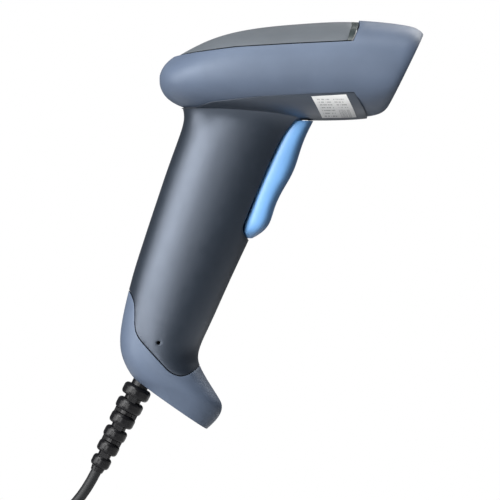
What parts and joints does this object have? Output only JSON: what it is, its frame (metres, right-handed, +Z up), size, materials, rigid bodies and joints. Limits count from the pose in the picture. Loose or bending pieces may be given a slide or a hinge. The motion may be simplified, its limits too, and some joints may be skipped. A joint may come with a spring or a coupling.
{
  "type": "handheld barcode scanner",
  "caption": "Gun-shaped handheld scanner with an oval head, slanted scan window, finger trigger, oval grip, flared foot, ribbed strain relief and a coiled cable with a plug.",
  "frame": {"origin": "middle of the grip, where the hand holds it", "axes": "+X towards the scan window, +Z up along the held scanner, +Y to the scanner's left; Y = 0 is its mirror plane"},
  "size_m": [0.2253, 0.1001, 0.2261],
  "materials": {
    "cover_plastic": "fine matte blue-grey moulding",
    "shell_plastic": "satin near-black blue moulding",
    "panel_plastic": "satin dark grey moulding",
    "indicator_lens": "milky greenish translucent lens",
    "window_tint": "polished dark red filter",
    "gasket_rubber": "soft matte black",
    "label_film": "printed off-white film",
    "trigger_plastic": "satin light blue moulding",
    "plunger_plastic": "moulded red plastic",
    "plain_steel": "plain zinc-plated",
    "black_plastic": "glass-filled black moulding",
    "chip_plastic": "moulded epoxy",
    "connector_plastic": "ivory moulding",
    "clear_plastic": "clear polished moulding",
    "lens_glass": "coated optical glass",
    "circuit_board": "green solder mask",
    "flex_film": "amber polyimide",
    "led_resin": "tinted resin",
    "boot_rubber": "glossy black flexible moulding",
    "cable_jacket": "smooth dark grey jacket",
    "tie_band": "woven hook-and-loop band",
    "plug_plastic": "satin black overmould",
    "plug_steel": "bright nickel plate",
    "plug_insulator": "moulded white insulator"
  },
  "bodies": {
    "housing": {"beeper": "black_plastic", "board_screw_1": "plain_steel", "board_screw_2": "plain_steel", "cable_boot": "boot_rubber", "cable_coil": "cable_jacket", "cable_run": "cable_jacket", "cable_tail": "cable_jacket", "cable_tie": "tie_band", "case_screw_1": "plain_steel", "case_screw_2": "plain_steel", "case_screw_3": "plain_steel", "decoder_chip": "chip_plastic", "end_cap": "cover_plastic", "engine_chassis": "black_plastic", "engine_lid": "black_plastic", "engine_screw_1": "plain_steel", "engine_screw_2": "plain_steel", "engine_screw_3": "plain_steel", "engine_screw_4": "plain_steel", "flex_cable": "flex_film", "flex_socket": "connector_plastic", "handle_shell_left": "shell_plastic", "handle_shell_right": "shell_plastic", "head_cover": "cover_plastic", "illumination_board": "circuit_board", "led_diffuser": "clear_plastic", "lens_barrel": "black_plastic", "lens_glass": "lens_glass", "light_pipe": "clear_plastic", "main_board": "circuit_board", "memory_chip": "chip_plastic", "modular_jack": "black_plastic", "modular_plug": "clear_plastic", "plug_grip": "plug_plastic", "plug_shell": "plug_steel", "plug_sleeve": "boot_rubber", "plug_tongue": "plug_insulator", "scan_led_1": "led_resin", "scan_led_2": "led_resin", "scan_led_3": "led_resin", "scan_led_4": "led_resin", "scan_led_5": "led_resin", "scan_led_6": "led_resin", "scan_window": "window_tint", "sensor_board": "circuit_board", "sensor_chip": "chip_plastic", "spec_label": "label_film", "status_led": "led_resin", "status_lens": "indicator_lens", "switch_board": "circuit_board", "top_panel": "panel_plastic", "trigger_pin": "plain_steel", "trigger_spring": "plain_steel", "trigger_switch": "black_plastic", "window_gasket": "gasket_rubber"},
    "trigger": {"trigger": "trigger_plastic"},
    "plunger": {"switch_plunger": "plunger_plastic"}
  },
  "joints": [
    {"name": "trigger_pull", "type": "hinge", "parent": "housing", "child": "trigger", "pos_m": [0.0365, 0, 0.051], "axis": [0, 1, 0], "range_deg": [0, 5.5], "stiffness_Nm_per_rad": 0.6, "springref_deg": -5.73},
    {"name": "switch_press", "type": "slide", "parent": "housing", "child": "plunger", "axis": [-1, 0, 0], "range_m": [0, 0.00125]}
  ],
  "couplings": [
    {"joint": "switch_press", "follows": "trigger_pull", "m_per_rad": 0.012}
  ]
}
